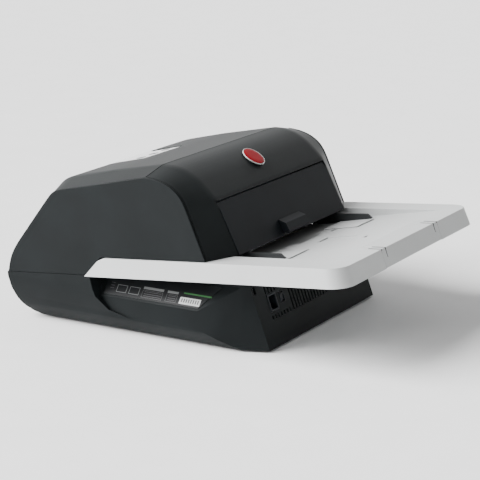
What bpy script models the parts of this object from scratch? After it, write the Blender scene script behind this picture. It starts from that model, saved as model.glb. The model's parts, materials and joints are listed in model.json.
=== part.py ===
"""Desktop document laminator with an inclined feed tray, built as separate named parts.

Frame: +X right, the feed tray points to -Y, +Z up; the origin is at the middle of the footprint box.
Sizes below are millimetres and every object is written in metres.
"""
import math

import bmesh
import bpy
from mathutils import Matrix, Vector

MM = 0.001
GAP = 0.3                     # clearance between neighbouring pieces

# ---- driving dimensions (mm) -------------------------------------------------
BODY_HALF = 194.0             # half width of the moulded covers
SIDE_OUT = 198.5              # half width over the flat side panels
CROWN_HALF = 152.0            # half width of the middle panel between the chamfer bands
PARTING_0 = 92.5              # height of the cover joint at y = 0
RIM_0 = 117.9                 # height of the tray rim at y = 0
TILT = -0.0962                # slope of the joint and the rim, falling to the back
FLOOR_0 = 92.7                # height of the tray floor plane at y = 0
FLOOR_SLOPE = -0.2012
WALL = 3.0
BASE_BOTTOM = 3.0
FRONT_FOOT_Y = -139.0         # base front edge at the bottom
FRONT_LEAN = 0.372            # how fast the base front face runs back with height
TRAY_TOP_HALF, TRAY_BOTTOM_HALF = 201.0, 205.0
TRAY_FRONT_TOP, TRAY_FRONT_BOTTOM = -266.0, -275.0
TRAY_CORNER = 26.0
TRAY_INNER_HALF = 158.0
TRAY_BACK = -48.0
ARM_INNER = 182.0
ARM_TIP_TOP, ARM_TIP_BOTTOM = 98.0, 121.0
EXT_HALF = 87.0               # half width of the pull-out tray extension
EXT_SEAM = -233.0
DOOR_HALF = 150.5
SEAM_Y, SEAM_Z = -56.0, 196.0         # joint between hood and door
DOOR_FOOT_Y, DOOR_FOOT_Z = -91.5, 127.0
FRAME_IN, FRAME_OUT = 132.0, 135.0    # steel side frames
NIP_Y, LOWER_NIP_Z, HEAT_R = 60.0, 82.0, 15.0
NIP_GAP = 0.6
EXIT_Y, EXIT_LOW_Z, EXIT_R = 200.0, 84.0, 9.0
PICKUP_Y, PICKUP_Z, PICKUP_R = -30.0, 117.5, 12.0
FILM_UP = (12.0, 166.0, 27.0)         # y, z, radius of the upper film roll
FILM_LOW = (-32.0, 60.0, 25.0)
MODULE = 1.5                          # gear module of the main drive
CUT_Y = 150.0

# middle-panel profile (y, z) from the rear joint over the deck and crest to the tray
CROWN = [(275, 60), (270, 88), (259, 108), (192, 194), (182, 202), (108, 220), (26, 236.6),
         (9, 236.2), (-6, 233), (-23, 225), (-37, 214), (-48, 204), (SEAM_Y, SEAM_Z), (-92, 125)]
# the same profile where the chamfer bands meet the flat sides
SIDE = [(256, 60), (251, 88), (241, 107), (182, 184), (172, 193.5), (112, 207), (26, 227.5),
        (14, 226.7), (0, 224), (-12, 219.5), (-22, 213), (-29, 206), (-35, 197), (-68, 123)]
CREST = 6                             # index of the crest joint in both profiles


def parting(y):
    return PARTING_0 + TILT * y


def rim(y):
    return RIM_0 + TILT * y


def floor(y):
    return FLOOR_0 + FLOOR_SLOPE * y


def front_y(z):
    return FRONT_FOOT_Y + FRONT_LEAN * (z - BASE_BOTTOM)


# ---- helpers -------------------------------------------------------------------
def clear_scene():
    for item in list(bpy.data.objects):
        bpy.data.objects.remove(item, do_unlink=True)


def material(name, colour, roughness, metallic=0.0):
    mat = bpy.data.materials.get(name)
    if mat is None:
        mat = bpy.data.materials.new(name)
        mat.use_nodes = True
        shader = mat.node_tree.nodes["Principled BSDF"]
        shader.inputs["Base Color"].default_value = (*colour, 1.0)
        shader.inputs["Roughness"].default_value = roughness
        shader.inputs["Metallic"].default_value = metallic
    return mat


def finish_mesh(name, build, mat, origin=(0, 0, 0), smooth=False):
    """Turn a bmesh in millimetres into a named object whose origin is at `origin`."""
    bmesh.ops.recalc_face_normals(build, faces=build.faces)
    shift = Vector(origin)
    for vert in build.verts:
        vert.co = (vert.co - shift) * MM
    mesh = bpy.data.meshes.new(name)
    build.to_mesh(mesh)
    build.free()
    if smooth:
        mesh.shade_smooth()
        mesh.set_sharp_from_angle(angle=math.radians(35))
    mesh.materials.append(mat)
    item = bpy.data.objects.new(name, mesh)
    item.location = shift * MM
    bpy.context.scene.collection.objects.link(item)
    return item


def loft(name, rings, mat, **kw):
    """Closed solid through rings of equal length, capped at both ends."""
    build = bmesh.new()
    loops = [[build.verts.new(p) for p in ring] for ring in rings]
    count = len(loops[0])
    for low, high in zip(loops, loops[1:]):
        for i in range(count):
            j = (i + 1) % count
            build.faces.new((low[i], low[j], high[j], high[i]))
    build.faces.new(loops[0])
    build.faces.new(loops[-1])
    return finish_mesh(name, build, mat, **kw)


def place(axis, point, along):
    """A 3-D point from a 2-D outline point and the distance along the extrusion axis."""
    u, v = point
    return {"x": (along, u, v), "y": (u, along, v), "z": (u, v, along)}[axis]


def prism(name, axis, outline, low, high, mat, **kw):
    rings = [[place(axis, p, along) for p in outline] for along in (low, high)]
    return loft(name, rings, mat, **kw)


def block(name, low, high, mat, **kw):
    outline = [(low[0], low[1]), (high[0], low[1]), (high[0], high[1]), (low[0], high[1])]
    return prism(name, "z", outline, low[2], high[2], mat, **kw)


def circle(centre, radius, count=24, start=0.0):
    step = 2 * math.pi / count
    return [(centre[0] + radius * math.cos(start + i * step), centre[1] + radius * math.sin(start + i * step))
            for i in range(count)]


def turned(name, axis, centre, profile, mat, count=24):
    """Solid of revolution: profile is (distance along axis, radius) from one end to the other."""
    rings = [[place(axis, p, along) for p in circle(centre, radius, count)] for along, radius in profile]
    middle = {"x": (0, *centre), "y": (centre[0], 0, centre[1]), "z": (*centre, 0)}[axis]
    return loft(name, rings, mat, origin=middle, smooth=True)


def modify(target, tool, operation):
    mod = target.modifiers.new(operation.lower(), "BOOLEAN")
    mod.operation = operation
    mod.solver = "EXACT"
    mod.object = tool
    tool.hide_render = True
    tool.display_type = "WIRE"
    return target


def cut(target, *tools):
    for tool in tools:
        modify(target, tool, "DIFFERENCE")
    return target


def fuse(target, *tools):
    for tool in tools:
        modify(target, tool, "UNION")
    return target


def many_blocks(name, boxes, mat, rotation=0.0, at=(0, 0, 0)):
    """One cutter made of separate boxes, turned about X and moved to `at`."""
    build = bmesh.new()
    turn = Matrix.Translation(Vector(at)) @ Matrix.Rotation(rotation, 4, "X")
    for low, high in boxes:
        size = [h - l for l, h in zip(low, high)]
        mid = [(h + l) / 2 for l, h in zip(low, high)]
        bmesh.ops.create_cube(build, size=1.0, matrix=turn @ Matrix.Translation(mid) @ Matrix.Diagonal((*size, 1)))
    return finish_mesh(name, build, mat)


def offset(profile, depth):
    """Move an open profile, walked rear to front, outward by `depth` (inward if negative)."""
    moved = []
    for i, point in enumerate(profile):
        before = profile[max(i - 1, 0)]
        after = profile[min(i + 1, len(profile) - 1)]
        normals = []
        for a, b in ((before, point), (point, after)):
            if a != b:
                run = Vector((b[0] - a[0], b[1] - a[1])).normalized()
                normals.append(Vector((run.y, -run.x)))
        mean = sum(normals, Vector((0, 0))) / len(normals)
        mean /= mean.length_squared
        moved.append((point[0] + mean.x * depth, point[1] + mean.y * depth))
    return moved


def tool_material():
    return material("cutter", (1, 0, 0), 0.5)


def mirrored(value, side):
    low, high = value
    return (low, high) if side > 0 else (-high, -low)


# ---- covers ----------------------------------------------------------------------
def below_covers():
    """Everything under the covers' lower edge, which steps up over the tray arms."""
    edge = [(-320, rim(-320) + GAP), (ARM_TIP_TOP + GAP, rim(ARM_TIP_TOP) + GAP),
            (ARM_TIP_BOTTOM + GAP, parting(ARM_TIP_BOTTOM) + GAP), (320, parting(320) + GAP), (320, -60), (-320, -60)]
    return prism("tool_below", "x", edge, -260, 260, tool_material())


def cover_shell(name, first, last, mat, ends=(0.0, 0.0)):
    """A moulded cover that follows the profile from index first to index last."""
    rings = []
    for x, source in ((-BODY_HALF, SIDE), (-CROWN_HALF, CROWN), (CROWN_HALF, CROWN), (BODY_HALF, SIDE)):
        line = list(source[first:last + 1])
        line[0] = (line[0][0] + ends[0], line[0][1])
        line[-1] = (line[-1][0] + ends[1], line[-1][1])
        inner = offset(line, -WALL)
        for end, shift in zip((0, -1), ends):
            if shift:                       # a joint is cut square, so both edges share one y
                inner[end] = (line[end][0], inner[end][1])
        rings.append([(x, y, z) for y, z in line + inner[::-1]])
    return loft(name, rings, mat)


def rear_cover(mat, tool_below):
    cover = cover_shell("rear_cover", 0, CREST, mat, ends=(0.0, GAP / 2))
    slot = block("tool_exit", (-152, 225, 80), (152, 300, 96), tool_material())
    panel = prism("tool_panel", "x", strip_between(panel_line(), 8, -9), -53, 53, tool_material())
    return cut(cover, tool_below, slot, panel)


def strip_between(line, outer, inner):
    return offset(line, outer) + offset(line, inner)[::-1]


def panel_line():
    """The control panel's bent line: down the deck and a little way over its rear edge."""
    return [(200.5, 183.0), (191.7, 194.3), (181.8, 202.0), (121.0, 216.8)]


def front_hood(mat, tool_below):
    hood = cover_shell("front_hood", CREST, len(CROWN) - 1, mat, ends=(-GAP / 2, 0.0))
    opening = [(SEAM_Y - 30, SEAM_Z - 0.8), (SEAM_Y + 30, SEAM_Z - 0.8), (-40, 60), (-160, 60)]
    mouth = prism("tool_mouth", "x", opening, -DOOR_HALF - 1, DOOR_HALF + 1, tool_material())
    pins = turned("tool_hood_pins", "x", HINGE, [(-160, 1.9), (160, 1.9)], tool_material(), count=16)
    return cut(hood, mouth, pins, tool_below)


def side_panel(name, side, mat):
    outline = [(y, z) for y, z in SIDE[1:-1]]
    outline += [(-67.5, rim(-67.5) + GAP), (ARM_TIP_TOP + GAP, rim(ARM_TIP_TOP) + GAP),
                (ARM_TIP_BOTTOM + GAP, parting(ARM_TIP_BOTTOM) + GAP), (255.2, parting(255.2) + GAP)]
    low, high = mirrored((BODY_HALF + GAP, SIDE_OUT), side)
    return prism(name, "x", outline, low, high, mat)


# ---- base --------------------------------------------------------------------------
def base_half_width(z):
    steps = [(3, 168), (12, 177), (22, 184), (35, 190), (50, 195), (62, 198), (200, 198)]
    for (za, wa), (zb, wb) in zip(steps, steps[1:]):
        if z <= zb:
            return wa + (wb - wa) * (z - za) / (zb - za)
    return steps[-1][1]


def base_rear(z):
    steps = [(3, 238), (8, 249), (16, 259), (28, 267), (44, 272.5), (66, 275), (200, 275)]
    for (za, ya), (zb, yb) in zip(steps, steps[1:]):
        if z <= zb:
            return ya + (yb - ya) * (z - za) / (zb - za)
    return steps[-1][1]


def base_ring(z, inset=0.0):
    """Plan outline of the base at height z, with slanted front and rear corners."""
    half, rear, front = base_half_width(z) - inset, base_rear(z) - inset, front_y(z) + inset
    front_half = 153.5 - inset
    corner_y = front + (half - front_half) / 0.42
    rear_half = CROWN_HALF * half / SIDE_OUT
    right = [(front_half, front), (half, corner_y), (half, rear - 19), (rear_half, rear)]
    left = [(-x, y) for x, y in right[::-1]]
    return [(x, y, z) for x, y in right + left]


# hand hold under each tray arm: height, half width of its wall, y of its rear end
SCOOP = [(24, 185, 55), (34, 185, 92), (52, 185, 110), (85, 158, 119), (150, 158, 137)]


def scoop(side):
    """Hand hold and label recess under each tray arm."""
    rings = [[(side * x, -220, z), (side * 230, -220, z), (side * 230, end, z), (side * x, end, z)]
             for z, x, end in SCOOP]
    return loft(f"tool_scoop_{side}", rings, tool_material())


def base_tub(mat):
    levels = [3, 8, 16, 22, 28, 35, 44, 50, 62, 66, 125]
    base = loft("base_tub", [base_ring(z) for z in levels], mat)
    above = [(-320, parting(-320)), (320, parting(320)), (320, 200), (-320, 200)]
    lid = prism("tool_above", "x", above, -260, 260, tool_material())
    low_room = loft("tool_room", [
        [(x, y, z) for x, y in ((155 - k, front_y(z) + WALL + 1), (155 - k, 225 - r), (k - 155, 225 - r),
                                (k - 155, front_y(z) + WALL + 1))]
        for z, k, r in ((6, 0, 0), (130, 0, 0))], tool_material())
    rear_room = block("tool_rear_room", (-190, 150, 52), (190, 245, 140), tool_material())
    lean = math.atan(FRONT_LEAN)
    slots = [((x - 1.7, -12, -26), (x + 1.7, 12, 32)) for x in slot_positions(-64, 36)]
    slots += [((x - 1.7, -12, 10), (x + 1.7, 12, 32)) for x in slot_positions(-121, -72)]
    slots += [((x - 1.7, -12, -26), (x + 1.7, 12, -20)) for x in slot_positions(-121, -72)]
    slots += [((-122, -12, -16), (-99, 12, 9)), ((-91.5, -12, -10), (-79.5, 12, 6))]
    slots += [((-149, -12, 16), (-143, 12, 26))]
    middle = 60.0
    vents = many_blocks("tool_vents", slots, tool_material(), rotation=-lean, at=(0, front_y(middle), middle))
    exit_slot = block("tool_base_exit", (-152, 240, 80), (152, 300, 96), tool_material())
    return cut(base, lid, scoop(1), scoop(-1), low_room, rear_room, vents, exit_slot)


def slot_positions(low, high, pitch=7.8):
    count = int((high - low) / pitch) + 1
    return [low + pitch * i for i in range(count)]


def feet(mat):
    for name, x, y in (("foot_front_left", -140, -118), ("foot_front_right", 140, -118),
                       ("foot_rear_left", -140, 215), ("foot_rear_right", 140, 215)):
        turned(name, "z", (x, y), [(0, 8), (1, 9), (BASE_BOTTOM - GAP, 9)], mat)


def label_plate(name, side, mat):
    """Instruction label that lies on the recess's sloping wall."""
    corners = [(183.0, 54.5, -46.0), (161.0, 81.4, -70.0)]      # x, z and the front end's y
    normal = Vector((0.774, 0.633))
    near, far = [], []
    for height, row in ((GAP, corners), (GAP + 0.8, corners[::-1])):
        for x, z, front in row:
            across, up = side * (x + normal.x * height), z + normal.y * height
            near.append((across, front, up))
            far.append((across, 104.0, up))
    return loft(name, [near, far], mat)


# ---- feed tray -------------------------------------------------------------------------
def tray_ring(half, front, tip, height):
    """Plan outline of the U-shaped tray frame with rounded front corners."""
    right = [(half, tip)]
    for i in range(7):
        turn = math.pi / 2 * i / 6
        right.append((half - TRAY_CORNER * (1 - math.cos(turn)), front + TRAY_CORNER * (1 - math.sin(turn))))
    left = [(-x, y) for x, y in right[::-1]]
    inner = [(-ARM_INNER, tip), (-ARM_INNER, TRAY_BACK), (ARM_INNER, TRAY_BACK), (ARM_INNER, tip)]
    return [(x, y, height(y)) for x, y in right + left + inner]


def input_tray(mat):
    tray = loft("input_tray", [tray_ring(TRAY_BOTTOM_HALF, TRAY_FRONT_BOTTOM, ARM_TIP_BOTTOM, parting),
                               tray_ring(TRAY_TOP_HALF, TRAY_FRONT_TOP, ARM_TIP_TOP, rim)], mat)
    tool = tool_material()
    recess = prism("tool_recess", "x", [(-240, floor(-240)), (-30, floor(-30)), (-30, 190), (-240, 190)],
                   -TRAY_INNER_HALF, TRAY_INNER_HALF, tool)
    under = [(-257, 60), (-60, 60), (-60, floor(-60) - WALL), (-236, floor(-236) - WALL), (-257, rim(-257) - WALL)]
    pocket = prism("tool_pocket", "x", under, -154, 154, tool)
    mouth = [(-320, 60), (EXT_SEAM + GAP, 60), (EXT_SEAM + GAP, 190), (-320, 190)]
    drawer = prism("tool_drawer", "x", mouth, -EXT_HALF - GAP, EXT_HALF + GAP, tool)
    tools = [recess, pocket, drawer]
    channel = [(-246, 60), (-246, rim(-246) - WALL), (90, rim(90) - WALL), (104, 60)]
    for side in (1, -1):
        low, high = mirrored((186, 197.5), side)
        tools.append(prism(f"tool_channel_{side}", "x", channel, low, high, tool))
    slots = [((-124, -149, 60), (-60, -145, 190)), ((60, -119, 60), (124, -115, 190)), ((-6, -203, 60), (6, -199, 190))]
    tools.append(many_blocks("tool_slots", slots, tool))
    bore = turned("tool_bore", "z", PINION, [(60, SHAFT_R + 0.4), (SHAFT_TOP + 0.4, SHAFT_R + 0.4)], tool)
    return cut(tray, *tools, bore)


def tray_extension(mat):
    outline = [(EXT_SEAM, rim(EXT_SEAM)), (TRAY_FRONT_TOP, rim(TRAY_FRONT_TOP)),
               (TRAY_FRONT_BOTTOM, parting(TRAY_FRONT_BOTTOM) + 0.6), (-262, parting(-262) + 0.6),
               (-262, rim(-262) - 18), (-150, rim(-150) - 18), (-150, rim(-150) - 15), (EXT_SEAM, rim(EXT_SEAM) - 15)]
    return prism("tray_extension", "x", outline, -EXT_HALF, EXT_HALF, mat)


GUIDE_X = 126.0
PINION = (0.0, -132.0)
SHAFT_R, SHAFT_TOP = 4.0, 117.2        # the pinion turns in a blind hole under the tray floor


def sheet_guide(name, side, mat):
    """Side guide: wall and thin foot plate above the floor, and a rack below it."""
    def strip(low_x, high_x, back, front, low, high):
        a, b = mirrored((low_x, high_x), side)
        outline = [(back, low(back)), (front, low(front)), (front, high(front)), (back, high(back))]
        return prism(f"tool_{name}_{low_x}_{front}", "x", outline, a, b, tool_material())

    a, b = mirrored((GUIDE_X, GUIDE_X + 4), side)
    outline = [(-60, floor(-60) + 0.4), (-144, floor(-144) + 0.4), (-148, floor(-148) + 3),
               (-140, rim(-140) - 1), (-60, rim(-60) - 1)]
    wall = prism(name, "x", outline, a, b, mat)
    plate = strip(76, GUIDE_X + 2, -98, -150, lambda y: floor(y) + 0.4, lambda y: floor(y) + 1.8)
    tab_y = -147 if side < 0 else -117
    tab = strip(112, 121, tab_y + 1.5, tab_y - 1.5, lambda y: RACK_TOP - 2, lambda y: floor(y) + 1)
    rack_y = -132 + side * 11.7
    rack = rack_bar(f"tool_{name}_rack", side, rack_y)
    return fuse(wall, plate, tab, rack)


RACK_TOP = floor(-114) - 3.6
RACK_PITCH = math.pi * 2.0            # module 2 rack


def rack_bar(name, side, rack_y):
    """Toothed bar under the floor, its teeth towards the pinion at x = 0, y = -132."""
    toward = -side
    start, end = -side * 2.92 * RACK_PITCH, side * 122.0     # a tooth gap faces the pinion at x = 0
    points = []
    count = int(abs(end - start) / RACK_PITCH)
    root = rack_y + toward * 1.8
    for i in range(count):
        x = start + side * i * RACK_PITCH
        for along, reach in ((0.20, 0.0), (0.32, 3.8), (0.52, 3.8), (0.64, 0.0)):
            points.append((x + side * along * RACK_PITCH, root + toward * reach))
    back = rack_y - toward * 5.2
    points += [(end, root), (end, back), (start, back)]
    return prism(name, "z", points, RACK_TOP - 3, RACK_TOP, tool_material())


def gear_outline(centre, teeth, module, phase=0.0, clearance=0.25):
    """Plain toothed outline with flanks thinned for running clearance."""
    pitch = module * teeth / 2
    points = []
    step = 2 * math.pi / teeth
    for i in range(teeth):
        for along, radius in ((-0.30, pitch - 1.15 * module), (-0.12, pitch + 0.85 * module),
                              (0.12, pitch + 0.85 * module), (0.30, pitch - 1.15 * module)):
            turn = phase + (i + along) * step
            points.append((centre[0] + (radius - clearance) * math.cos(turn),
                           centre[1] + (radius - clearance) * math.sin(turn)))
    return points


def guide_pinion(mat):
    """Eight-tooth pinion between the two racks, with its shaft up into the tray floor."""
    outline = gear_outline(PINION, 8, 2.0, phase=math.pi / 2, clearance=0.3)
    wheel = prism("guide_pinion", "z", outline, RACK_TOP - 3, RACK_TOP, mat, origin=(*PINION, RACK_TOP))
    shaft = turned("tool_pinion_shaft", "z", PINION, [(RACK_TOP - 1, SHAFT_R), (SHAFT_TOP, SHAFT_R)],
                   tool_material(), count=16)
    return fuse(wheel, shaft)


# ---- door and latch ------------------------------------------------------------------------
HINGE = (SEAM_Y + 3.6, SEAM_Z - 5.2)          # y, z of the door hinge


def door_direction():
    return Vector((DOOR_FOOT_Y - SEAM_Y, DOOR_FOOT_Z - SEAM_Z)).normalized()


def on_door(down, out):
    """A (y, z) point `down` mm along the door face from the joint and `out` mm in front of it."""
    run = door_direction()
    face = Vector((run.y, -run.x))
    if face.x > 0:
        face = -face
    point = Vector((SEAM_Y, SEAM_Z)) + run * down + face * out
    return (point.x, point.y)


DOOR_LENGTH = math.hypot(DOOR_FOOT_Y - SEAM_Y, DOOR_FOOT_Z - SEAM_Z)


def cartridge_door(mat):
    outline = [on_door(2.2, -2.6), on_door(14, 0.0), on_door(DOOR_LENGTH, 0.0), on_door(DOOR_LENGTH, -2.6),
               on_door(14, -2.6), on_door(8, -6.6), on_door(3.0, -6.6)]
    door = prism("cartridge_door", "x", outline, -DOOR_HALF, DOOR_HALF, mat, origin=(0, *HINGE))
    notch = [on_door(DOOR_LENGTH - 22, 5), on_door(DOOR_LENGTH + 5, 5), on_door(DOOR_LENGTH + 5, -8),
             on_door(DOOR_LENGTH - 22, -8)]
    pin_hole = turned("tool_pin_hole", "x", HINGE, [(-160, 1.9), (160, 1.9)], tool_material(), count=16)
    return cut(door, prism("tool_latch", "x", notch, -30, 30, tool_material()), pin_hole)


LATCH_HINGE_DOWN = DOOR_LENGTH - 17.0


def door_handle(mat):
    pivot = on_door(LATCH_HINGE_DOWN, -1.0)
    outline = [on_door(DOOR_LENGTH - 20.5, 0.8), on_door(DOOR_LENGTH - 23, 0.8), on_door(DOOR_LENGTH - 15, 9.5),
               on_door(DOOR_LENGTH - 2, 10.5), on_door(DOOR_LENGTH - 1, 8.0), on_door(DOOR_LENGTH - 12, 1.0),
               on_door(DOOR_LENGTH - 4, -1.5), on_door(DOOR_LENGTH - 3, -9), on_door(DOOR_LENGTH - 6, -9),
               on_door(DOOR_LENGTH - 7, -3), on_door(DOOR_LENGTH - 20.5, -3.4)]
    return prism("door_handle", "x", outline, -29.2, 29.2, mat, origin=(0, *pivot))


def hinge_pin(name, side, mat):
    low, high = mirrored((120, 158), side)
    pin = turned(name, "x", HINGE, [(low, 1.5), (high, 1.5)], mat, count=16)
    return pin


# ---- fittings ----------------------------------------------------------------------------
def front_fitting(name, parts, mat):
    """A fitting set square to the leaning base front; parts are (low, high) boxes."""
    middle = 60.0
    lean = math.atan(FRONT_LEAN)
    item = many_blocks(name, parts[:1], mat, rotation=-lean, at=(0, front_y(middle), middle))
    for i, piece in enumerate(parts[1:]):
        tool = many_blocks(f"tool_{name}_{i}", [piece], tool_material(), rotation=-lean,
                           at=(0, front_y(middle), middle))
        cut(item, tool)
    return item


def power_inlet(mat):
    body = ((-121.7, -0.8, -15.7), (-99.3, 16, 8.7))
    socket = ((-118.5, -5, -12.5), (-102.5, 12, 5.5))
    return front_fitting("power_inlet", [body, socket], mat)


def switch_frame(mat):
    body = ((-91.2, -0.8, -9.7), (-79.8, 12, 5.7))
    hole = ((-89.8, -5, -8.4), (-81.2, 9, 4.4))
    return front_fitting("switch_frame", [body, hole], mat)


def rocker_switch(mat):
    middle = 60.0
    lean = math.atan(FRONT_LEAN)
    turn = Matrix.Translation((0, front_y(middle), middle)) @ Matrix.Rotation(-lean, 4, "X")
    section = [(7.0, -7.2), (1.2, -7.6), (0.4, -2.0), (-1.4, 3.2), (7.0, 3.2)]
    rings = [[tuple(turn @ Vector((x, y, z))) for y, z in section] for x in (-89.3, -81.7)]
    pivot = turn @ Vector((0, 4.0, -2.0))
    return loft("rocker_switch", rings, mat, origin=tuple(pivot))


def maker_badge(mat):
    """Plain round badge, slightly domed, on the hood's curved front."""
    centre = Vector((0, -25.0, 223.8))
    lean = math.radians(32)
    turn = Matrix.Translation(centre) @ Matrix.Rotation(lean, 4, "X")
    rings = []
    for height, radius in ((0.9, 16.4), (2.2, 16.4), (3.1, 14.0), (3.5, 8.5)):
        rings.append([tuple(turn @ Vector((x, y, height))) for x, y in circle((0, 0), radius, 32)])
    return loft("maker_badge", rings, mat)


def control_panel(mat):
    line = panel_line()
    panel = prism("control_panel", "x", strip_between(line, -0.5, -3.1), -52.6, 52.6, mat)
    holes = [turned(f"tool_key_{i}", "z", (x, 140.0), [(150, 7.4), (260, 7.4)], tool_material())
             for i, x in enumerate(KEY_X)]
    return cut(panel, *holes)


KEY_X = (-32.0, 0.0, 32.0)
DECK_NORMAL = Vector((0, 0.2365, 0.9716))


def panel_keys(mat):
    for name, x in zip(("power_key", "start_key", "reverse_key"), KEY_X):
        middle = Vector((x, 140.0, 209.9))
        rings = []
        for height, radius in ((-5.5, 6.6), (1.6, 6.6), (2.0, 5.8)):
            base = middle + DECK_NORMAL * height
            rings.append([(base.x + u, base.y + v, base.z - v * 0.2434) for u, v in circle((0, 0), radius, 24)])
        loft(name, rings, mat, origin=tuple(middle), smooth=True)


# ---- inside -----------------------------------------------------------------------------
def frame_plate(name, side, mat):
    outline = [(-44, 28), (-44, 122), (-20, 150), (-20, 186), (44, 186), (60, 160), (215, 130), (215, 28)]
    low, high = mirrored((FRAME_IN, FRAME_OUT), side)
    plate = prism(name, "x", outline, low, high, mat)
    shafts = [((NIP_Y, LOWER_NIP_Z), 6.4), ((NIP_Y, upper_nip_z()), 6.4), ((EXIT_Y, EXIT_LOW_Z), 4.4),
              ((EXIT_Y, exit_high_z()), 4.4), ((PICKUP_Y, PICKUP_Z), 4.4), (motor_centre(), 3.4),
              (FILM_UP[:2], 5.4), (FILM_LOW[:2], 5.4)]
    tools = [turned(f"tool_{name}_{i}", "x", centre, [(-180, radius), (180, radius)], tool_material())
             for i, (centre, radius) in enumerate(shafts)]
    return cut(plate, *tools)


def upper_nip_z():
    return LOWER_NIP_Z + 2 * HEAT_R + NIP_GAP


def exit_high_z():
    return EXIT_LOW_Z + 2 * EXIT_R + NIP_GAP


BIG_TEETH, PINION_TEETH = 40, 12


def motor_centre():
    reach = MODULE * (BIG_TEETH + PINION_TEETH) / 2
    turn = math.radians(-30)
    return (NIP_Y + reach * math.cos(turn), LOWER_NIP_Z + reach * math.sin(turn))


def roller(name, centre, radius, shaft, half, mat, left=144.0, right=144.0):
    profile = [(-left, shaft), (-half, shaft), (-half, radius), (half, radius), (half, shaft), (right, shaft)]
    return turned(name, "x", centre, profile, mat)


def pickup_roller(mat):
    r = PICKUP_R
    profile = [(-138, 4), (-48, 4), (-48, r), (-20, r), (-20, 6), (20, 6), (20, r), (48, r), (48, 4), (138, 4)]
    return turned("pickup_roller", "x", (PICKUP_Y, PICKUP_Z), profile, mat)


def gear(name, centre, teeth, module, low, high, bore, mat, phase=0.0):
    wheel = prism(name, "x", gear_outline(centre, teeth, module, phase), low, high, mat, origin=(0, *centre))
    hole = turned(f"tool_{name}", "x", centre, [(low - 5, bore), (high + 5, bore)], tool_material())
    return cut(wheel, hole)


def drive_gears(mat):
    small = (2 * HEAT_R + NIP_GAP) / 20
    gear("main_gear", (NIP_Y, LOWER_NIP_Z), BIG_TEETH, MODULE, 136.5, 141.5, 6.3, mat, phase=math.radians(-30))
    gear("motor_pinion", motor_centre(), PINION_TEETH, MODULE, 136.5, 141.5, 2.8, mat,
         phase=math.radians(150) + math.pi / PINION_TEETH)
    gear("lower_roller_gear", (NIP_Y, LOWER_NIP_Z), 20, small, -142, -137, 6.3, mat, phase=math.pi / 2)
    gear("upper_roller_gear", (NIP_Y, upper_nip_z()), 20, small, -142, -137, 6.3, mat,
         phase=-math.pi / 2 + math.pi / 20)


def drive_motor(mat):
    y, z = motor_centre()
    return turned("drive_motor", "x", (y, z), [(78, 16), (80, 18), (124, 18), (126, 7), (131.6, 7)], mat)


def motor_shaft(mat):
    y, z = motor_centre()
    return turned("motor_shaft", "x", (y, z), [(131.9, 2.5), (144, 2.5)], mat, count=16)


def film_roll(name, source, mat):
    y, z, r = source
    profile = [(-138, 5), (-129, 5), (-129, 11), (-123, 11), (-123, r)]
    profile += [(-x, radius) for x, radius in profile[::-1]]
    return turned(name, "x", (y, z), profile, mat, count=32)


PULLEY_R = 11.0
EXIT_PULLEY_R = PULLEY_R * EXIT_R / HEAT_R     # gives both roller pairs the same surface speed


def belt_loop(extra):
    """Outline of an open belt round the main and exit shafts, `extra` mm outside both pulleys."""
    a, b = (NIP_Y, LOWER_NIP_Z), (EXIT_Y, EXIT_LOW_Z)
    lean = math.atan2(b[1] - a[1], b[0] - a[0])
    taper = math.asin((PULLEY_R - EXIT_PULLEY_R) / math.dist(a, b))
    wraps = ((a, PULLEY_R, lean + math.pi / 2 - taper, math.pi + 2 * taper),
             (b, EXIT_PULLEY_R, lean - math.pi / 2 + taper, math.pi - 2 * taper))
    count = 12
    points = []
    for centre, radius, start, sweep in wraps:
        for i in range(count + 1):
            turn = start + sweep * i / count
            reach = radius + extra
            points.append((centre[0] + reach * math.cos(turn), centre[1] + reach * math.sin(turn)))
    return points


def drive_belt(mat):
    belt = prism("drive_belt", "x", belt_loop(1.9), 144.2, 149.2, mat)
    return cut(belt, prism("tool_belt", "x", belt_loop(GAP), 140, 155, tool_material()))


def pulley(name, centre, radius, bore, mat):
    wheel = turned(name, "x", centre, [(143.6, radius), (149.8, radius)], mat)
    hole = turned(f"tool_{name}", "x", centre, [(140, bore), (155, bore)], tool_material())
    return cut(wheel, hole)


def cutter(mats):
    block("cutter_rail", (-131, CUT_Y - 5, 124), (131, CUT_Y + 5, 132), mats["steel"])
    block("cutter_bed", (-131, CUT_Y - 8, 78), (131, CUT_Y + 8, 90), mats["steel"])
    carriage = block("cutter_carriage", (-16, CUT_Y - 9, 108), (16, CUT_Y + 9, 136), mats["dark"])
    groove = block("tool_groove", (-20, CUT_Y - 5.5, 123.5), (20, CUT_Y + 5.5, 132.5), tool_material())
    fork = block("tool_fork", (-20, CUT_Y - 2.2, 100), (20, CUT_Y + 2.2, 120), tool_material())
    cut(carriage, groove, fork)
    turned("cutter_wheel", "y", (0, 103), [(CUT_Y - 1.6, 10), (CUT_Y - 0.4, 11.5), (CUT_Y + 0.4, 11.5),
                                           (CUT_Y + 1.6, 10)], mats["steel"])


FAN = (95.0, 45.0, 27.0)                 # x, z, blade radius


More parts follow.
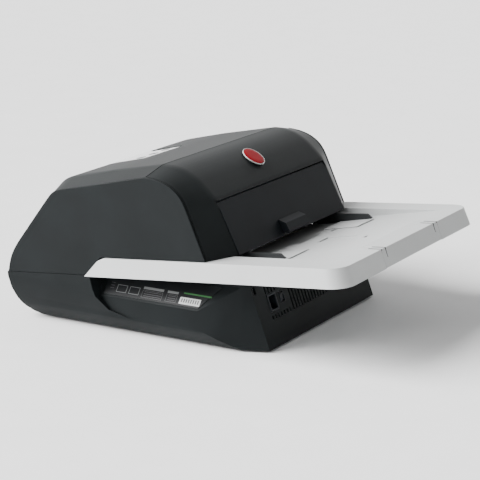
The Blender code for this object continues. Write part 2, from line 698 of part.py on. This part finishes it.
def cooling_fan(mats):
    x, z, r = FAN
    frame = block("fan_frame", (x - 30, -100, z - 30), (x + 30, -86, z + 30), mats["dark"])
    hole = turned("tool_fan", "y", (x, z), [(-110, r + 1), (-88.5, r + 1), (-88.5, 11), (-80, 11)], tool_material())
    vents = many_blocks("tool_fan_slots", [((x - 26, -90, z + s * 16 - 4), (x + 26, -80, z + s * 16 + 4)) for s in (-1, 1)],
                        tool_material())
    cut(frame, hole, vents)
    rotor = turned("fan_rotor", "y", (x, z), [(-98.5, 11), (-90, 11)], mats["grey"])
    blades = []
    for i in range(7):
        turn = 2 * math.pi * i / 7
        rings = []
        for radius in (9.5, r - 1):
            ring = []
            for side, depth in ((-1, -98), (-1, -96.4), (1, -90.6), (1, -92.2)):
                angle = turn + side * 0.20
                ring.append((x + radius * math.cos(angle), depth, z + radius * math.sin(angle)))
            rings.append(ring)
        blades.append(loft(f"tool_blade_{i}", rings, tool_material()))
    fuse(rotor, *blades)


def electronics(mats):
    block("chassis_plate", (-150, -96, 6.4), (150, 218, 8.4), mats["steel"])
    block("control_board", (-120, 132, 14), (-20, 208, 15.6), mats["board"])
    block("power_supply", (-128, 30, 9), (-40, 112, 50), mats["steel"])


def main():
    clear_scene()
    mats = {
        "shell": material("charcoal_plastic", (0.052, 0.056, 0.056), 0.42),
        "dark": material("dark_plastic", (0.022, 0.024, 0.026), 0.4),
        "light": material("light_grey_plastic", (0.74, 0.74, 0.72), 0.4),
        "grey": material("mid_grey_plastic", (0.11, 0.11, 0.11), 0.45),
        "rubber": material("rubber", (0.02, 0.02, 0.02), 0.8),
        "steel": material("zinc_steel", (0.55, 0.56, 0.57), 0.35, 0.9),
        "silicone": material("silicone", (0.35, 0.09, 0.06), 0.5),
        "gloss": material("gloss_panel", (0.03, 0.03, 0.035), 0.08),
        "red": material("red_enamel", (0.55, 0.01, 0.02), 0.25),
        "nylon": material("nylon", (0.78, 0.76, 0.7), 0.45),
        "film": material("film", (0.75, 0.8, 0.82), 0.15),
        "board": material("circuit_board", (0.02, 0.16, 0.06), 0.4),
        "label": material("label", (0.06, 0.065, 0.07), 0.35),
    }
    tool_below = below_covers()
    rear_cover(mats["shell"], tool_below)
    front_hood(mats["shell"], tool_below)
    side_panel("left_side_panel", -1, mats["shell"])
    side_panel("right_side_panel", 1, mats["shell"])
    base_tub(mats["shell"])
    feet(mats["rubber"])
    label_plate("left_label", -1, mats["label"])
    label_plate("right_label", 1, mats["label"])
    input_tray(mats["light"])
    tray_extension(mats["light"])
    sheet_guide("left_guide", -1, mats["grey"])
    sheet_guide("right_guide", 1, mats["grey"])
    guide_pinion(mats["nylon"])
    cartridge_door(mats["dark"])
    door_handle(mats["dark"])
    hinge_pin("hinge_pin_left", -1, mats["steel"])
    hinge_pin("hinge_pin_right", 1, mats["steel"])
    power_inlet(mats["dark"])
    switch_frame(mats["dark"])
    rocker_switch(mats["dark"])
    maker_badge(mats["red"])
    control_panel(mats["gloss"])
    panel_keys(mats["grey"])
    frame_plate("left_frame_plate", -1, mats["steel"])
    frame_plate("right_frame_plate", 1, mats["steel"])
    pickup_roller(mats["rubber"])
    roller("lower_heat_roller", (NIP_Y, LOWER_NIP_Z), HEAT_R, 6, 127, mats["silicone"], right=151)
    roller("upper_heat_roller", (NIP_Y, upper_nip_z()), HEAT_R, 6, 127, mats["silicone"], right=136)
    roller("lower_exit_roller", (EXIT_Y, EXIT_LOW_Z), EXIT_R, 4, 127, mats["rubber"], left=138, right=151)
    roller("upper_exit_roller", (EXIT_Y, exit_high_z()), EXIT_R, 4, 127, mats["rubber"], left=138, right=138)
    drive_gears(mats["nylon"])
    drive_motor(mats["steel"])
    motor_shaft(mats["steel"])
    drive_belt(mats["rubber"])
    pulley("main_pulley", (NIP_Y, LOWER_NIP_Z), PULLEY_R, 6.3, mats["nylon"])
    pulley("exit_pulley", (EXIT_Y, EXIT_LOW_Z), EXIT_PULLEY_R, 4.3, mats["nylon"])
    film_roll("upper_film_roll", FILM_UP, mats["film"])
    film_roll("lower_film_roll", FILM_LOW, mats["film"])
    cutter(mats)
    cooling_fan(mats)
    electronics(mats)


main()
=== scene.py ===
"""Looks for the desktop laminator: smooth covers, soft edges, materials, stage and camera.

Lengths in the modelling functions are millimetres; meshes are written in metres.
"""
import json
import math

import bmesh
import bpy
from mathutils import Matrix, Vector


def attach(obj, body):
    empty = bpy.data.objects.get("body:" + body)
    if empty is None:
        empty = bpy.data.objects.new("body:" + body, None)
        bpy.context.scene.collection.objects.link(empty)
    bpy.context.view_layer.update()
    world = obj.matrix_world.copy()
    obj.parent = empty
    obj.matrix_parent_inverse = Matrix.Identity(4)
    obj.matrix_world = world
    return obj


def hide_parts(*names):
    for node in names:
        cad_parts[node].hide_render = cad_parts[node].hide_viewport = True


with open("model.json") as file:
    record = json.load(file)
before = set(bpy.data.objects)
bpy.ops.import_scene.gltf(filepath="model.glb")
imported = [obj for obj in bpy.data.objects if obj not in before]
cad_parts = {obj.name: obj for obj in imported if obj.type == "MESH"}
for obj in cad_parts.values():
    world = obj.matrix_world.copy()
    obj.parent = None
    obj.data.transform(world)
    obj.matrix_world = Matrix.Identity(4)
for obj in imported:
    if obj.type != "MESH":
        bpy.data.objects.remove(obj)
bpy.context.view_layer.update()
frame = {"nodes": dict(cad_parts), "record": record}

MM = 0.001
GAP = 0.3                            # clearance between neighbouring pieces
WALL = 3.0                           # thickness of the covers
FAR = 320.0                          # reach of a cutting tool past the machine

# ---- shapes shared with the CAD (mm) ----------------------------------------------
BODY_HALF = 194.0                    # half width of the covers
SIDE_OUT = 198.5                     # half width over the flat side panels
CROWN_HALF = 152.0                   # half width of their middle panel
CROWN = [(275, 60), (270, 88), (259, 108), (192, 194), (182, 202), (108, 220), (26, 236.6),
         (9, 236.2), (-6, 233), (-23, 225), (-37, 214), (-48, 204), (-56, 196), (-92, 125)]
SIDE = [(256, 60), (251, 88), (241, 107), (182, 184), (172, 193.5), (112, 207), (26, 227.5),
        (14, 226.7), (0, 224), (-12, 219.5), (-22, 213), (-29, 206), (-35, 197), (-68, 123)]
CREST = 6                            # index of the joint between the two covers
SEAM_HALF = 0.55                     # half the open line between the two covers
SEAM = (-56.0, 196.0)                # y, z of the door's upper edge
DOOR_FOOT = (-91.5, 127.0)           # y, z of its lower edge
DOOR_HALF = 150.5
ARM_TIP = (98.0, 121.0)              # y of the tray arm's end, top and bottom
EXT_SEAM = -233.0                    # y of the joint between tray and pull-out extension
TRAY_FRONT = -266.0
PANEL_LINE = [(200.5, 183.0), (191.7, 194.3), (181.8, 202.0), (121.0, 216.8)]
PANEL_HALF = 53.0
EXIT_SLOT = (-152, 225, 80), (152, 300, 96)
BADGE_CENTRE, BADGE_LEAN = (0, -25.0, 223.8), 32.0

# ---- softness of the edges (mm, degrees) -------------------------------------------
PROFILE_ROUND, CREASE_ROUND = 14.0, 7.0
SHARP_EDGE = 28.0                    # edges that turn more than this are rounded
SMOOTH_UP_TO = 40.0                  # faces that meet at less than this are shaded as one


def parting(y):
    return 92.5 - 0.0962 * y


def rim(y):
    return 117.9 - 0.0962 * y


def floor_at(y):
    return 92.7 - 0.2012 * y


# ---- materials ----------------------------------------------------------------------
def socket(shader, name, value):
    shader.inputs[name].default_value = value


def plastic(name, colour, roughness, grain=900.0, bump=0.05, spread=0.12, coat=0.0, metallic=0.0,
            shine=0.5):
    """Moulded plastic: fine grain in the surface, faint cloudy change of colour and gloss."""
    mat = bpy.data.materials.new(name)
    mat.use_nodes = True
    nodes, links = mat.node_tree.nodes, mat.node_tree.links
    shader = nodes["Principled BSDF"]
    socket(shader, "Metallic", metallic)
    socket(shader, "Coat Weight", coat)
    socket(shader, "Specular IOR Level", shine)
    place = nodes.new("ShaderNodeTexCoord")
    cloud = nodes.new("ShaderNodeTexNoise")
    socket(cloud, "Scale", 14.0)
    socket(cloud, "Detail", 5.0)
    fine = nodes.new("ShaderNodeTexNoise")
    socket(fine, "Scale", grain)
    socket(fine, "Detail", 3.0)
    for texture in (cloud, fine):
        links.new(place.outputs["Object"], texture.inputs["Vector"])
    tint = nodes.new("ShaderNodeValToRGB")
    for stop, factor in zip(tint.color_ramp.elements, (1 - spread, 1 + spread)):
        stop.color = (*(min(1.0, c * factor) for c in colour), 1)
    tint.color_ramp.elements[0].position = 0.35
    tint.color_ramp.elements[1].position = 0.65
    links.new(cloud.outputs["Fac"], tint.inputs["Fac"])
    links.new(tint.outputs["Color"], shader.inputs["Base Color"])
    gloss = nodes.new("ShaderNodeMapRange")
    socket(gloss, "To Min", max(0.02, roughness - 0.05))
    socket(gloss, "To Max", min(1.0, roughness + 0.05))
    links.new(fine.outputs["Fac"], gloss.inputs["Value"])
    links.new(gloss.outputs["Result"], shader.inputs["Roughness"])
    relief = nodes.new("ShaderNodeBump")
    socket(relief, "Strength", bump)
    socket(relief, "Distance", 0.0004)
    links.new(fine.outputs["Fac"], relief.inputs["Height"])
    links.new(relief.outputs["Normal"], shader.inputs["Normal"])
    return mat


def brushed(name, colour, roughness, stretch):
    """Metal with fine lines drawn along one direction."""
    mat = plastic(name, colour, roughness, metallic=1.0, bump=0.03, spread=0.06)
    nodes, links = mat.node_tree.nodes, mat.node_tree.links
    turn = nodes.new("ShaderNodeMapping")
    socket(turn, "Scale", stretch)
    place = next(n for n in nodes if n.type == "TEX_COORD")
    links.new(place.outputs["Object"], turn.inputs["Vector"])
    for texture in (n for n in nodes if n.type == "TEX_NOISE" and n.inputs["Scale"].default_value > 100):
        links.new(turn.outputs["Vector"], texture.inputs["Vector"])
    return mat


LOOKS = {
    "charcoal_shell": plastic("look_shell", (0.0105, 0.0128, 0.0134), 0.46, bump=0.10, shine=0.18),
    "dark_plastic": plastic("look_dark", (0.0080, 0.0100, 0.0125), 0.44, bump=0.06, shine=0.18),
    "light_plastic": plastic("look_light", (0.50, 0.51, 0.51), 0.45, bump=0.05, spread=0.02, shine=0.25),
    "guide_plastic": plastic("look_guide", (0.020, 0.022, 0.023), 0.42, bump=0.05, shine=0.35),
    "key_plastic": plastic("look_key", (0.06, 0.06, 0.062), 0.4, shine=0.4),
    "rubber": plastic("look_rubber", (0.008, 0.008, 0.008), 0.8, grain=500, bump=0.2, shine=0.3),
    "steel": brushed("look_steel", (0.40, 0.41, 0.42), 0.34, (0.05, 1.0, 1.0)),
    "silicone": plastic("look_silicone", (0.20, 0.04, 0.025), 0.5, bump=0.08),
    "nylon": plastic("look_nylon", (0.50, 0.48, 0.42), 0.46, spread=0.04),
    "film": plastic("look_film", (0.38, 0.43, 0.46), 0.14, grain=300, bump=0.03, coat=0.5),
    "circuit_board": plastic("look_board", (0.012, 0.09, 0.035), 0.35, coat=0.3),
    "gloss_panel": plastic("look_gloss", (0.012, 0.013, 0.015), 0.06, bump=0.01, coat=1.0),
    "badge_enamel": plastic("look_badge", (0.26, 0.0008, 0.006), 0.35, bump=0.01, spread=0.04, shine=0.12),
    "label": plastic("look_label", (0.0050, 0.0058, 0.0068), 0.40, bump=0.02, shine=0.22),
}
PALE = plastic("look_print_pale", (0.14, 0.145, 0.145), 0.5, spread=0.10, shine=0.3)
WHITE = plastic("look_print_white", (0.50, 0.51, 0.50), 0.5, spread=0.03, shine=0.3)
GREEN = plastic("look_print_green", (0.030, 0.13, 0.035), 0.5, shine=0.3)
# painted shade: a darker, duller copy of the covers' charcoal for the flat sides and the base, which take less
# light
SHADED_FLANK = plastic("look_charcoal_shaded_flank", (0.0074, 0.0092, 0.0098), 0.5, bump=0.10, shine=0.10)
# painted shade: near-black for the strips and ledges that stand in for shadow in grooves, seams and gaps
SHADE = plastic("look_painted_shade", (0.004, 0.004, 0.005), 0.7, shine=0.2)
SLOT_OF = {row["node"]: row["material_slot"] for row in frame["record"]["subparts"]}
BODY_OF = {node: body for body, nodes in frame["record"]["behaviour"]["bodies"].items() for node in nodes}
FINISHED = set()                     # CAD nodes that already have a visual piece in their place


# ---- modelling helpers -----------------------------------------------------------------
def to_object(name, build, mat):
    bmesh.ops.recalc_face_normals(build, faces=build.faces)
    mesh = bpy.data.meshes.new(name)
    build.to_mesh(mesh)
    build.free()
    mesh.materials.append(mat)
    item = bpy.data.objects.new(name, mesh)
    bpy.context.scene.collection.objects.link(item)
    return item


def loft(name, rings, mat):
    """Closed solid in millimetres through rings of equal length."""
    build = bmesh.new()
    loops = [[build.verts.new(Vector(p) * MM) for p in ring] for ring in rings]
    count = len(loops[0])
    for low, high in zip(loops, loops[1:]):
        for i in range(count):
            j = (i + 1) % count
            build.faces.new((low[i], low[j], high[j], high[i]))
    build.faces.new(loops[0])
    build.faces.new(loops[-1])
    return to_object(name, build, mat)


def prism(name, outline, low, high, mat=None):
    """Outline in (y, z) drawn along X."""
    return loft(name, [[(x, y, z) for y, z in outline] for x in (low, high)], mat or SHADE)


def block(name, low, high):
    outline = [(low[1], low[2]), (high[1], low[2]), (high[1], high[2]), (low[1], high[2])]
    return prism(name, outline, low[0], high[0])


def settle(item):
    """Replace an object's mesh with what its modifiers make of it."""
    evaluated = item.evaluated_get(bpy.context.evaluated_depsgraph_get())
    mesh = bpy.data.meshes.new_from_object(evaluated)
    item.modifiers.clear()
    item.data = mesh
    return item


def boolean(item, tools, operation="DIFFERENCE"):
    for tool in tools:
        step = item.modifiers.new("cut", "BOOLEAN")
        step.operation, step.solver, step.object = operation, "EXACT", tool
    settle(item)
    for tool in tools:
        bpy.data.objects.remove(tool, do_unlink=True)
    return item


def soften(item, width, segments=3, wide=None):
    """Round the sharp edges in the mesh itself and shade the rest smoothly.

    wide is (test, radius): the edges that pass the test are first rounded to that radius.
    """
    build = bmesh.new()
    build.from_mesh(item.data)
    bmesh.ops.remove_doubles(build, verts=build.verts, dist=2e-6)
    bmesh.ops.dissolve_limit(build, angle_limit=math.radians(0.4), verts=build.verts, edges=build.edges)
    if wide:
        test, radius = wide
        chosen = [e for e in build.edges if all(test(v.co / MM) for v in e.verts)]
        bmesh.ops.bevel(build, geom=chosen, offset=radius * MM, offset_type="OFFSET", segments=6,
                        profile=0.5, affect="EDGES", clamp_overlap=True)
    limit = math.radians(SHARP_EDGE)
    sharp = [e for e in build.edges if len(e.link_faces) == 2 and e.calc_face_angle() > limit]
    bmesh.ops.bevel(build, geom=sharp, offset=width * MM, offset_type="OFFSET", segments=segments,
                    profile=0.5, affect="EDGES", clamp_overlap=True)
    build.to_mesh(item.data)
    build.free()
    item.data.shade_smooth()
    item.data.set_sharp_from_angle(angle=math.radians(SMOOTH_UP_TO))
    item.modifiers.new("even_shading", "WEIGHTED_NORMAL").keep_sharp = True
    return item


def stand_for(item, node):
    """The piece takes a CAD node's place and body."""
    item.name = node + "_finish"
    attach(item, BODY_OF[node])
    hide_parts(node)
    FINISHED.add(node)


def dress(item, mat):
    """Make `mat` the item's only material."""
    item.data.materials.clear()
    item.data.materials.append(mat)


def copy_of(node):
    source = frame["nodes"][node]
    item = bpy.data.objects.new(node + "_copy", source.data.copy())
    dress(item, LOOKS[SLOT_OF[node]])
    bpy.context.scene.collection.objects.link(item)
    return item


def trim(name, item, body):
    item.name = name
    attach(item, body)


# ---- smooth covers --------------------------------------------------------------------
def rounded(points, reach, steps=4):
    """Each inner corner of an open line becomes a short curve; ends stay."""
    line = [Vector(p) for p in points]
    out = [line[0]]

    def cut_back(corner, other):
        run = other - corner
        return corner + run.normalized() * min(reach, 0.46 * run.length)

    for before, corner, after in zip(line, line[1:], line[2:]):
        start, end = cut_back(corner, before), cut_back(corner, after)
        for i in range(steps + 1):
            t = i / steps
            out.append(start * (1 - t) ** 2 + corner * 2 * t * (1 - t) + end * t ** 2)
    return out + [line[-1]]


def cover(name, first, last, mat, ends):
    """Shell of a cover with a rounded profile and a soft crease to each chamfer band."""
    profiles = []
    for source in (SIDE, CROWN):
        line = [Vector(p) for p in source[first:last + 1]]
        line[0].x += ends[0]
        line[-1].x += ends[1]
        profiles.append(rounded(line, PROFILE_ROUND))
    side, crown = profiles
    rows = []
    for s, c in zip(side, crown):
        across = [(-BODY_HALF, *s), (-CROWN_HALF, *c), (CROWN_HALF, *c), (BODY_HALF, *s)]
        rows.append(rounded(across, CREASE_ROUND))
    build = bmesh.new()
    grid = [[build.verts.new(p * MM) for p in row] for row in rows]
    for a, b in zip(grid, grid[1:]):
        for i in range(len(a) - 1):
            build.faces.new((a[i], a[i + 1], b[i + 1], b[i]))
    item = to_object(name, build, mat)
    if sum(p.normal.z for p in item.data.polygons) < 0:
        item.data.flip_normals()
    wall = item.modifiers.new("wall", "SOLIDIFY")
    wall.thickness, wall.offset = WALL * MM, -1.0
    return settle(item)


def arm_end():
    """The corner that the tray arm's slanted end leaves in the covers and side panels."""
    top, bottom = ARM_TIP
    return [(top + GAP, rim(top) + GAP), (bottom + GAP, parting(bottom) + GAP)]


def below_covers():
    """Tool that trims the covers along the tray rim and the base joint."""
    edge = [(-FAR, rim(-FAR) + GAP), *arm_end(), (FAR, parting(FAR) + GAP), (FAR, -60), (-FAR, -60)]
    return prism("tool_below", edge, -260, 260)


def offset(profile, depth):
    """The open (y, z) line moved sideways by `depth`."""
    moved = []
    for i, point in enumerate(profile):
        normals = []
        for a, b in ((profile[max(i - 1, 0)], point), (point, profile[min(i + 1, len(profile) - 1)])):
            if a != b:
                run = Vector((b[0] - a[0], b[1] - a[1])).normalized()
                normals.append(Vector((run.y, -run.x)))
        mean = sum(normals, Vector((0, 0))) / len(normals)
        mean /= mean.length_squared
        moved.append((point[0] + mean.x * depth, point[1] + mean.y * depth))
    return moved


def rear_cover():
    item = cover("rear", 0, CREST, LOOKS["charcoal_shell"], (0.0, SEAM_HALF))
    recess = offset(PANEL_LINE, 8) + offset(PANEL_LINE, -9)[::-1]
    tools = [below_covers(), block("tool_exit", *EXIT_SLOT), prism("tool_panel", recess, -PANEL_HALF, PANEL_HALF)]
    stand_for(soften(boolean(item, tools), 0.8), "rear_cover")


def front_hood():
    item = cover("hood", CREST, len(CROWN) - 1, LOOKS["charcoal_shell"], (-SEAM_HALF, 0.0))
    top = SEAM[1] - 0.8
    opening = [(SEAM[0] - 30, top), (SEAM[0] + 30, top), (-40, 60), (-160, 60)]
    tools = [prism("tool_mouth", opening, -DOOR_HALF - 1, DOOR_HALF + 1), below_covers()]
    stand_for(soften(boolean(item, tools), 0.8), "front_hood")


def side_panels():
    """Flat panels whose top edge follows the covers' rounded edge."""
    front, rear = -67.5, 254.5
    top = rounded(SIDE[:CREST + 1], PROFILE_ROUND)[1:] + rounded(SIDE[CREST:], PROFILE_ROUND)[1:-1]
    bottom = [(front, rim(front) + GAP), *arm_end(), (rear, parting(rear) + GAP)]
    outline = [tuple(p) for p in top] + bottom
    for node, side in (("left_side_panel", -1), ("right_side_panel", 1)):
        low, high = sorted((side * (BODY_HALF + GAP), side * SIDE_OUT))
        # the side panels take the darker flank copy of the charcoal: painted shade
        stand_for(soften(prism(node, outline, low, high, SHADED_FLANK), 1.1), node)


# ---- tray and base ----------------------------------------------------------------------
def input_tray():
    """The tray with a shallow recess in its floor and rounded corners on its arms' tips."""
    item = copy_of("input_tray")
    near, far, deep = -183, -135, 1.6
    recess = [(far, floor_at(far) - deep), (near, floor_at(near) - deep), (near, 190), (far, 190)]
    boolean(item, [prism("tool_finger", recess, -16, 15)])

    def tip(point):
        return abs(point.y - ARM_TIP[0]) < 1.0 and abs(point.z - rim(ARM_TIP[0])) < 1.0

    stand_for(soften(item, 1.6, segments=4, wide=(tip, 9.0)), "input_tray")


INNER_LINE, OUTER_LINE = 75.0, 86.0    # distance of the extension's grooves and strips of painted shade from its middle


def tray_extension():
    """The extension with two grooves over its rim and front face, and near-black strips of painted shade in the
    grooves and along its edges.
    """
    item = copy_of("tray_extension")
    start, deep, half = EXT_SEAM - 2, 1.8, 0.9
    groove = [(start, rim(EXT_SEAM) - deep), (TRAY_FRONT + 2.0, rim(TRAY_FRONT) - deep), (-269.5, 131),
              (-290, 131), (-290, 190), (start, 190)]
    boolean(item, [prism(f"tool_inner_{x}", groove, x - half, x + half) for x in (INNER_LINE, -INNER_LINE)])
    stand_for(soften(item, 0.9), "tray_extension")
    # painted shade: near-black strips over the rim and down the front face, where the grooves and the seam to the
    # tray fall into shadow
    start, half = -247.0, 1.25
    surface = [(start, rim(start)), (TRAY_FRONT, rim(TRAY_FRONT)), (-270.4, 129.0)]
    shade_strip = offset(surface, 0.12) + offset(surface, -0.8)[::-1]
    for i, x in enumerate((-OUTER_LINE, -INNER_LINE, INNER_LINE, OUTER_LINE)):
        item = prism("shade_strip", shade_strip, x - half, x + half)
        trim(f"extension_groove_shade_{i}", item, "extension")


def sheet_guides():
    """Dark guide walls with foot plates in the tray's colour."""
    wall_from = 125.0
    for node in ("left_guide", "right_guide"):
        item = soften(copy_of(node), 0.45)
        item.data.materials.append(LOOKS["light_plastic"])
        for face in item.data.polygons:
            if abs(face.center.x) / MM < wall_from:
                face.material_index = 1
        stand_for(item, node)


def base_tub():
    item = copy_of("base_tub")
    # the base takes the darker flank copy of the charcoal: painted shade for the tray's shadow over it
    dress(item, SHADED_FLANK)
    stand_for(soften(item, 0.9, segments=2), "base_tub")


def painted_shade_ledges():
    """Painted shade: a near-black ledge between the base wall and each tray arm, which closes the view through
    the body where the gap lies in shadow.
    """
    front, rear, gap = -46.0, 94.0, 0.6
    wall, arm = 156.0, 181.4
    outline = [(front, parting(front) + gap), (rear, parting(rear) + gap),
               (rear, rim(rear) - gap), (front, rim(front) - gap)]
    for tag, side in (("left", -1), ("right", 1)):
        # near-black SHADE material: painted shade in the gap under the arm
        ledge = prism("ledge", outline, *sorted((side * wall, side * arm)))
        trim(f"{tag}_painted_shade_ledge", ledge, "housing")


# ---- the label's generic marks ---------------------------------------------------------------
TOP, BOTTOM = Vector((161.0, 81.4)), Vector((183.0, 54.5))   # x, z of the sloping wall's edges
SLOPE = (BOTTOM - TOP).normalized()
OUT = Vector((0.774, 0.633))
LABEL_FACE = 1.15                    # height of the label's surface over the wall


def print_on_label(name, side, y, down, mat, proud):
    """Thin printed block: y and down are (low, high); down is measured along the sloping wall."""
    points = []
    for height in (LABEL_FACE, LABEL_FACE + proud):
        ring = []
        for yy, dd in ((y[0], down[0]), (y[1], down[0]), (y[1], down[1]), (y[0], down[1])):
            at = TOP + SLOPE * dd + OUT * height
            ring.append((side * at.x, yy, at.y))
        points.append(ring)
    trim(name, loft(name, points, mat), "housing")


def label_marks(side, tag):
    """Plain frames, bars and blocks in the places of the printed panels; nothing is legible."""
    count = 0
    grey = LOOKS["key_plastic"]

    def mark(y, down, mat, proud=0.15):
        nonlocal count
        print_on_label(f"{tag}_mark_{count}", side, y, down, mat, proud)
        count += 1

    def frame_of(y, down, mat, wide):
        mark(y, (down[0], down[0] + wide), mat)
        mark(y, (down[1] - wide, down[1]), mat)
        mark((y[0], y[0] + wide), (down[0] + wide, down[1] - wide), mat)
        mark((y[1] - wide, y[1]), (down[0] + wide, down[1] - wide), mat)

    for low in (70, 50):                                   # two squares
        frame_of((low, low + 16), (19, 30), PALE, 0.7)
    for low, high in ((13, 45), (-10, 7)):                 # two boxes with a pale header
        mark((low, high), (16, 19.5), PALE)
        frame_of((low, high), (21, 32), grey, 0.5)
        for row in range(3):
            mark((low + 2, high - 3), (23 + row * 3, 23.6 + row * 3), grey)
    for row in range(3):                                   # three short ticks at the rear
        mark((91, 97), (17 + row * 4, 17.6 + row * 4), grey)
    mark((-47, -15), (22, 32), WHITE)                      # pale block with plain bars on it
    for i in range(8):
        mark((-44.5 + i * 3.6, -42.8 + i * 3.6), (24, 29.5), grey, proud=0.25)
    mark((-61, -18), (15, 17), GREEN)


# ---- everything else -------------------------------------------------------------------------
EDGE_WIDTHS = {                      # mm: the nodes whose edges are rounded by that much
    1.0: ("power_supply",),
    0.7: ("cartridge_door",),
    0.6: ("power_inlet", "fan_frame", "drive_motor", "cutter_carriage"),
    0.5: ("rocker_switch", "maker_badge", "upper_film_roll", "lower_film_roll"),
    0.4: ("switch_frame", "control_panel", "power_key", "start_key", "reverse_key", "chassis_plate",
          "cutter_rail", "cutter_bed", "left_frame_plate", "right_frame_plate", "foot_front_left",
          "foot_front_right", "foot_rear_left", "foot_rear_right"),
    0.2: ("left_label", "right_label", "control_board"),
}


def finish_the_rest():
    """Round the listed nodes' edges; every other node keeps its CAD mesh with its slot's look."""
    width_of = {node: width for width, nodes in EDGE_WIDTHS.items() for node in nodes}
    for node, item in sorted(frame["nodes"].items()):
        if node in FINISHED:
            continue
        if node in width_of:
            stand_for(soften(copy_of(node), width_of[node], segments=2), node)
        else:
            dress(item, LOOKS[SLOT_OF[node]])


def door_handle():
    """The latch bar with a solid cheek at each end."""
    length = math.dist(SEAM, DOOR_FOOT)
    run = (Vector(DOOR_FOOT) - Vector(SEAM)).normalized()
    face = Vector((run.y, -run.x))

    def on_door(down, out):
        return tuple(Vector(SEAM) + run * down + face * out)

    cheek = [on_door(length - 21.5, 0.8), on_door(length - 15, 9.3), on_door(length - 2.3, 10.2),
             on_door(length - 1.4, 8.1), on_door(length - 4.4, -1.0), on_door(length - 8, -2.4),
             on_door(length - 19.5, -2.4)]
    inner, outer = 26.0, 29.1
    item = copy_of("door_handle")
    cheeks = [prism(f"tool_cheek_{side}", cheek, *sorted((side * inner, side * outer))) for side in (1, -1)]
    boolean(item, cheeks, "UNION")
    dress(item, LOOKS["dark_plastic"])
    stand_for(soften(item, 0.9), "door_handle")


def badge_rim():
    """Pale ring round the red badge."""
    turn = Matrix.Translation(Vector(BADGE_CENTRE)) @ Matrix.Rotation(math.radians(BADGE_LEAN), 4, "X")
    section = ((1.0, 17.3), (2.3, 17.3), (2.6, 16.9), (2.3, 16.2), (1.0, 16.2))     # height, radius
    count = 48
    angles = [2 * math.pi * i / count for i in range(count)]
    build = bmesh.new()
    rings = []
    for height, radius in section:
        points = [Vector((radius * math.cos(a), radius * math.sin(a), height)) for a in angles]
        rings.append([build.verts.new((turn @ p) * MM) for p in points])
    for a, b in zip(rings, rings[1:] + rings[:1]):
        for i in range(count):
            j = (i + 1) % count
            build.faces.new((a[i], a[j], b[j], b[i]))
    ring = to_object("badge_rim", build, WHITE)
    ring.data.shade_smooth()
    trim("badge_rim", ring, "housing")


# ---- stage -----------------------------------------------------------------------------------
CAMERA_AT = (-2.1289, -1.2465, 0.7415)       # m
CAMERA_TURN = (75.464, 0.0, -59.724)         # degrees
CAMERA_LENS = 135.306                        # mm on a 36 mm sensor


def camera():
    data = bpy.data.cameras.new("camera")
    data.lens, data.sensor_width = CAMERA_LENS, 36.0
    item = bpy.data.objects.new("camera", data)
    item.location = CAMERA_AT
    item.rotation_euler = [math.radians(a) for a in CAMERA_TURN]
    bpy.context.scene.collection.objects.link(item)
    bpy.context.scene.camera = item


def hang_light(name, data, at, direction):
    item = bpy.data.objects.new(name, data)
    item.location = at
    item.rotation_euler = direction.to_track_quat("-Z", "Y").to_euler()
    bpy.context.scene.collection.objects.link(item)


def area_light(name, at, aim, size, power):
    data = bpy.data.lights.new(name, "AREA")
    data.shape, data.size, data.size_y, data.energy = "RECTANGLE", size[0], size[1], power
    hang_light(name, data, at, Vector(aim) - Vector(at))


def soft_sun(name, toward, strength, spread):
    """A very wide sun, as a large softbox far away would be."""
    data = bpy.data.lights.new(name, "SUN")
    data.energy, data.angle = strength, math.radians(spread)
    hang_light(name, data, (0, 0, 0), -Vector(toward))


def stage():
    bpy.ops.mesh.primitive_grid_add(x_subdivisions=4, y_subdivisions=4, size=14.0, location=(0, 0, -0.0002))
    ground = bpy.context.object
    ground.name = "studio_floor"
    paper = plastic("look_floor", (0.92, 0.92, 0.92), 0.9, grain=40, bump=0.0, spread=0.01)
    ground.data.materials.append(paper)
    bpy.context.scene.world = studio_world()
    soft_sun("sun_rear_left", (-0.72, 1.00, 0.95), 9.8, 45)
    area_light("arm_soft", (-1.9, 1.2, 0.45), (-0.2, -0.1, 0.12), (0.7, 0.5), 24)


BRIGHT_SIDE = math.radians(42)       # bearing of the brightest part of the surround


def studio_world():
    """Soft white surround, brightest beyond the machine's rear right and dim towards its front left."""
    world = bpy.data.worlds.new("studio")
    world.use_nodes = True
    nodes, links = world.node_tree.nodes, world.node_tree.links
    place = nodes.new("ShaderNodeTexCoord")
    dot = nodes.new("ShaderNodeVectorMath")
    dot.operation = "DOT_PRODUCT"
    dot.inputs[1].default_value = (math.cos(BRIGHT_SIDE), math.sin(BRIGHT_SIDE), 0.0)
    reach = nodes.new("ShaderNodeMapRange")
    for name, value in (("From Min", 0.2), ("From Max", 0.9), ("To Min", 0.35), ("To Max", 1.3)):
        socket(reach, name, value)
    links.new(place.outputs["Generated"], dot.inputs[0])
    links.new(dot.outputs["Value"], reach.inputs["Value"])
    links.new(reach.outputs["Result"], nodes["Background"].inputs["Strength"])
    nodes["Background"].inputs["Color"].default_value = (1, 1, 1, 1)
    return world


camera()
stage()
rear_cover()
front_hood()
side_panels()
input_tray()
tray_extension()
base_tub()
painted_shade_ledges()
door_handle()
sheet_guides()
finish_the_rest()
badge_rim()
label_marks(-1, "left")
label_marks(1, "right")
